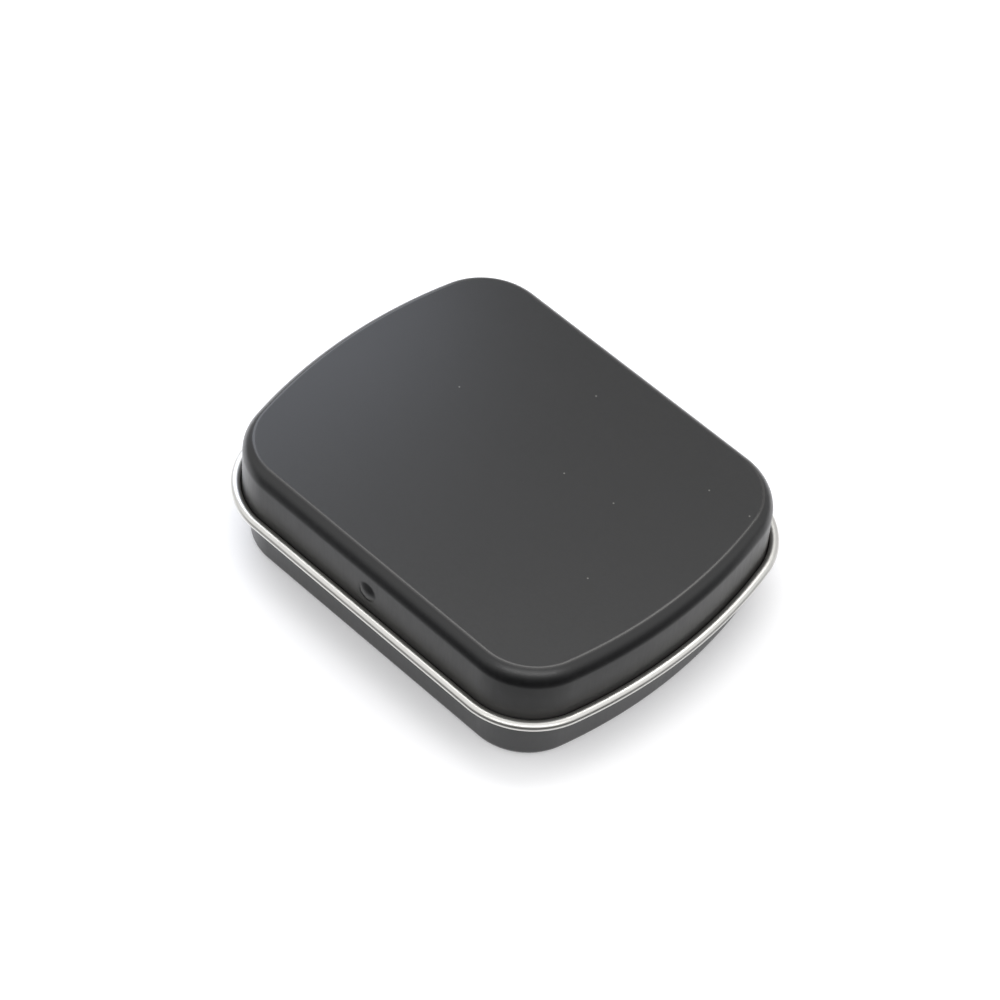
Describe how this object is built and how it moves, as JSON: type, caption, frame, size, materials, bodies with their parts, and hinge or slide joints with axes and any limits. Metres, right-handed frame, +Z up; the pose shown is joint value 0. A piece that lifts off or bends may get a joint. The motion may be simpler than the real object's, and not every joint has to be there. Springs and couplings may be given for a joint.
{
  "type": "hinged mint tin",
  "caption": "Small rounded-rectangle tin with a black lacquered hinged lid, a bright rolled edge round the lid and a small raised snap pip at the front.",
  "frame": {"origin": "middle of the flat underside, on the surface that the tin stands on", "axes": "+X along the tin towards one bowed end, -Y towards the front with the snap pip, +Y towards the hinge, +Z up through the lid"},
  "size_m": [0.06, 0.0487, 0.0165],
  "materials": {
    "black_lacquer": "matt",
    "bare_tinplate": "satin"
  },
  "bodies": {
    "base": {"base_tray": "black_lacquer", "base_rolled_edge": "black_lacquer", "hinge_tongue_left": "bare_tinplate", "hinge_tongue_right": "bare_tinplate"},
    "lid": {"lid_cover": "black_lacquer", "lid_rolled_edge": "bare_tinplate"}
  },
  "joints": [
    {"name": "lid_hinge", "type": "hinge", "parent": "base", "child": "lid", "pos_m": [0, 0.02354, 0.00836], "axis": [-1, 0, 0], "range_deg": [0, 115]}
  ]
}
